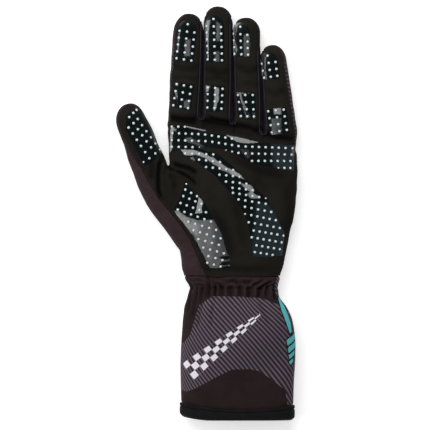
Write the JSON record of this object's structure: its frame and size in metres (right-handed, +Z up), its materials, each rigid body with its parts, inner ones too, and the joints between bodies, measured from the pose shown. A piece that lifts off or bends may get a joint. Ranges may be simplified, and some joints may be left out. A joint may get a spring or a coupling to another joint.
{
  "type": "karting glove",
  "caption": "Left-hand racing glove lying palm up, with a suede palm, fingers sewn with sidewalls, dotted silicone grips, a gathered wrist and a long open cuff with a hem band.",
  "frame": {"origin": "middle of the glove's footprint, on the surface it lies on", "axes": "+Z up, out of the palm; +Y towards the fingertips; +X from the thumb's side to the little finger's side"},
  "size_m": [0.136, 0.3094, 0.0266],
  "materials": {
    "suede": "matt near-black suede with an olive tint",
    "stretch_fabric": "matt dark maroon-brown stretch fabric",
    "sidewall_fabric": "matt purple-black knit",
    "cuff_fabric": "matt dark brown fabric printed with fine slanting grey-mauve stripes",
    "hem_fabric": "matt black folded band",
    "silicone": "glossy black film with raised pale dots"
  },
  "bodies": {
    "root": {"palm_panel": "suede", "back_panel": "stretch_fabric", "sidewall_index_middle": "sidewall_fabric", "sidewall_middle_ring": "sidewall_fabric", "sidewall_ring_little": "sidewall_fabric", "cuff": "cuff_fabric", "hem_band": "hem_fabric", "grip_palm": "silicone", "grip_thumb_heel": "silicone", "grip_thumb": "silicone", "grip_index_tip": "silicone", "grip_index_base": "silicone", "grip_middle_tip": "silicone", "grip_middle_base": "silicone", "grip_ring_tip": "silicone", "grip_ring_base": "silicone", "grip_little_tip": "silicone", "grip_little_base": "silicone"}
  },
  "joints": []
}
